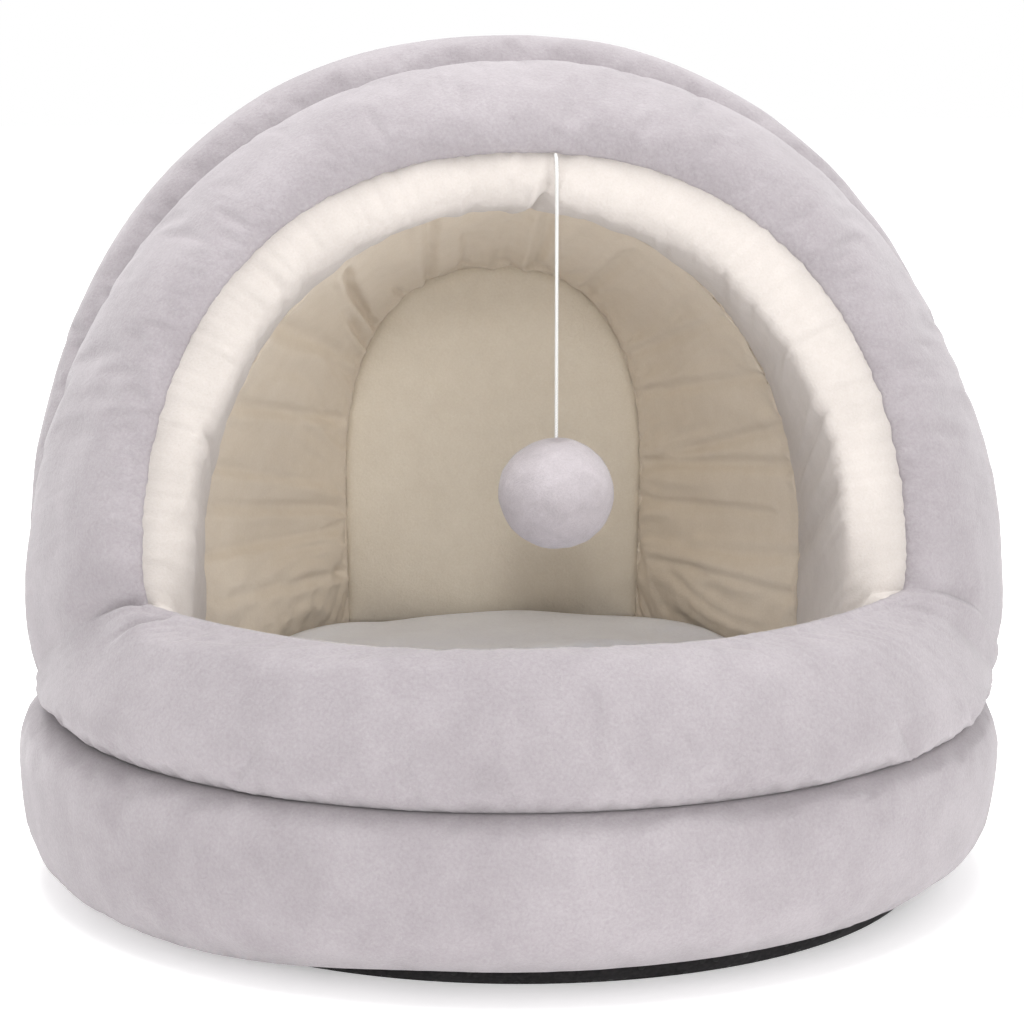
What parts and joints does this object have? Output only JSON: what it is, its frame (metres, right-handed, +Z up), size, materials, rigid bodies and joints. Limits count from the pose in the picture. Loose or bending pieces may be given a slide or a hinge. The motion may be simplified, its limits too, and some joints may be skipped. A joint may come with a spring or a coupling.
{
  "type": "cat bed",
  "caption": "Round plush cat cave: padded base, hood of stuffed tiers with a pale pleated lining, loose floor cushion and a plush ball hanging in the opening",
  "frame": {"origin": "on the floor under the middle of the base", "axes": "Z is up, the opening faces -Y, X runs to the right seen from the front"},
  "size_m": [0.4599, 0.4566, 0.3856],
  "materials": {
    "grey_plush": "short plush pile",
    "cream_velvet": "short velvety pile",
    "black_grip": "matt cloth with a non-slip coat",
    "cushion_plush": "short plush pile",
    "ball_plush": "short plush pile",
    "white_elastic": "braided elastic"
  },
  "bodies": {
    "root": {"bottom_panel": "black_grip", "base_roll": "grey_plush", "front_roll": "grey_plush", "front_lining": "cream_velvet", "rear_roll": "grey_plush", "rear_lining": "cream_velvet", "back_panel": "grey_plush", "back_lining": "cream_velvet", "cushion": "cushion_plush", "string": "white_elastic", "ball": "ball_plush"}
  },
  "joints": []
}
